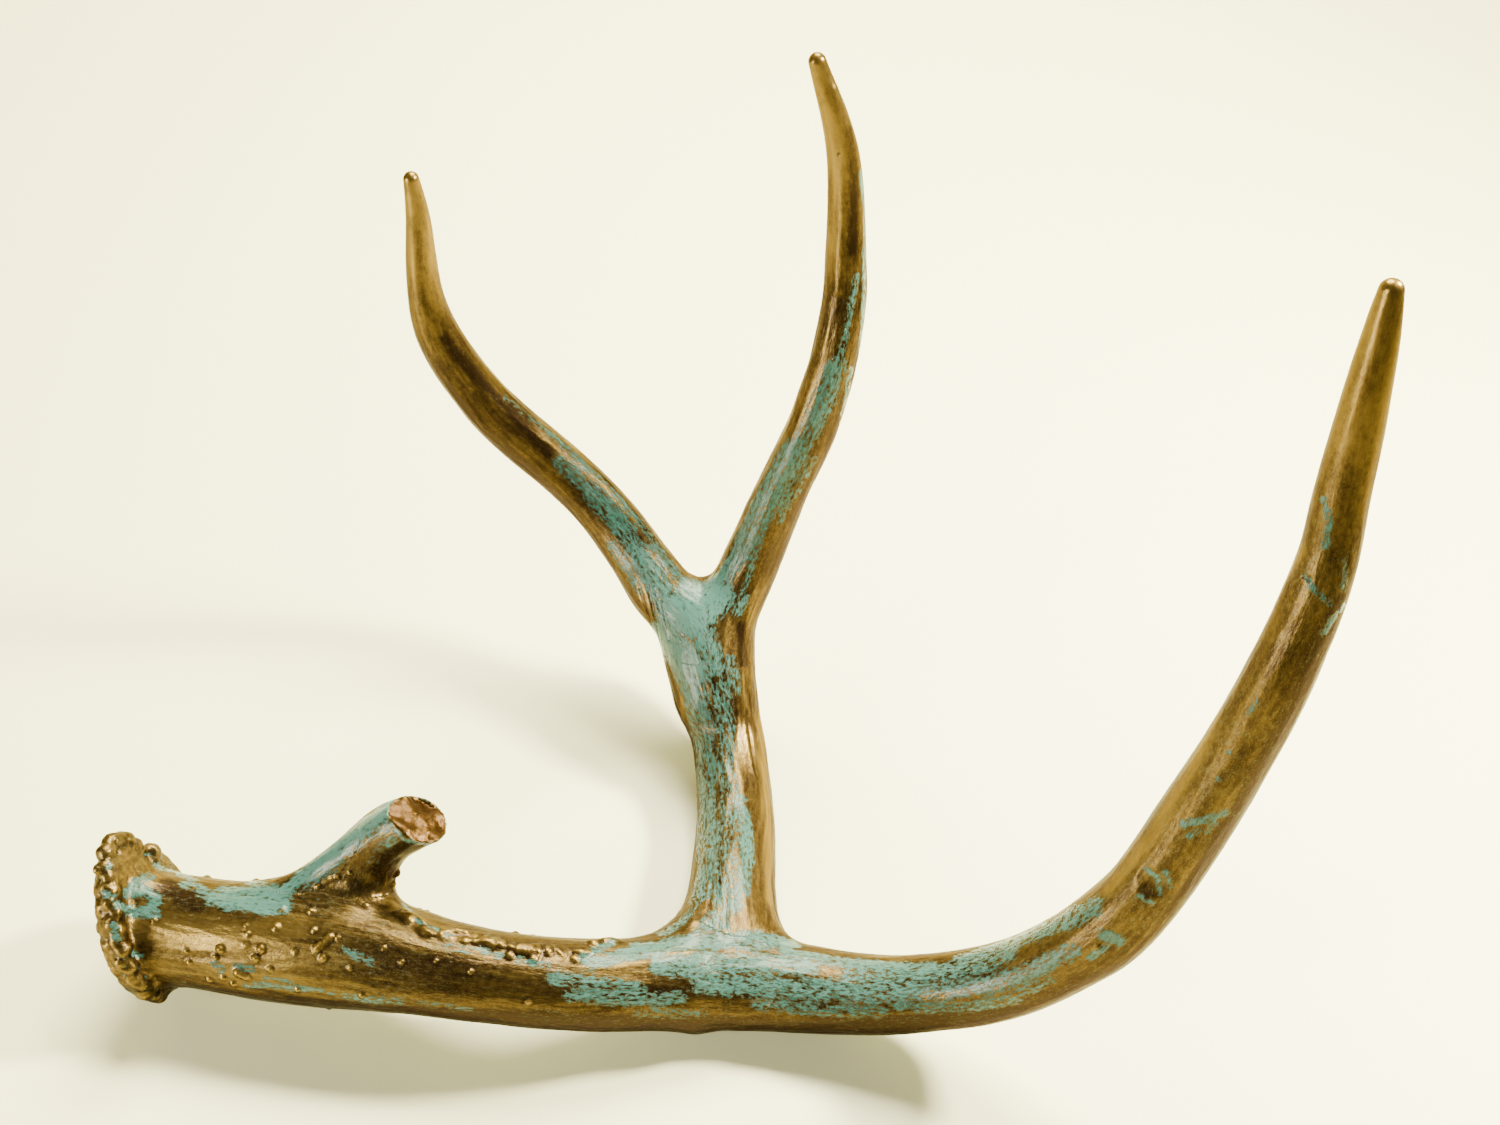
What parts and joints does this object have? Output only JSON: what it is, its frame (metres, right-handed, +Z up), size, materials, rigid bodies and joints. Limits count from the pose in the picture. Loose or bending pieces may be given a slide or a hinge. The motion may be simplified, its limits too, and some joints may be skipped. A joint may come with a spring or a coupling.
{
  "type": "painted deer antler",
  "caption": "Deer antler with a knobbly burr, a sawn-off brow tine and a forked stem, painted bronze and turquoise, for display on a shelf or table.",
  "frame": {"origin": "on the surface the antler lies on, under the middle of its bounding box", "axes": "+X from the burr towards the beam's tip, +Y from the beam towards the fork's tines, +Z up, away from the surface"},
  "size_m": [0.3844, 0.23, 0.2885],
  "materials": {
    "bronze_paint": "metallic bronze-gold paint, dry-brushed with turquoise and varnished glossy",
    "turquoise_patina": "chalky turquoise over bronze paint, streaked along the grain, glossy varnish",
    "gold_paint": "metallic gold-bronze paint, glossy varnish"
  },
  "bodies": {
    "root": {"burr_and_lower_beam": "bronze_paint", "upper_beam": "bronze_paint", "brow_tine_stub": "turquoise_patina", "fork_stem": "turquoise_patina", "rear_left_tine": "gold_paint", "rear_right_tine": "gold_paint"}
  },
  "joints": []
}
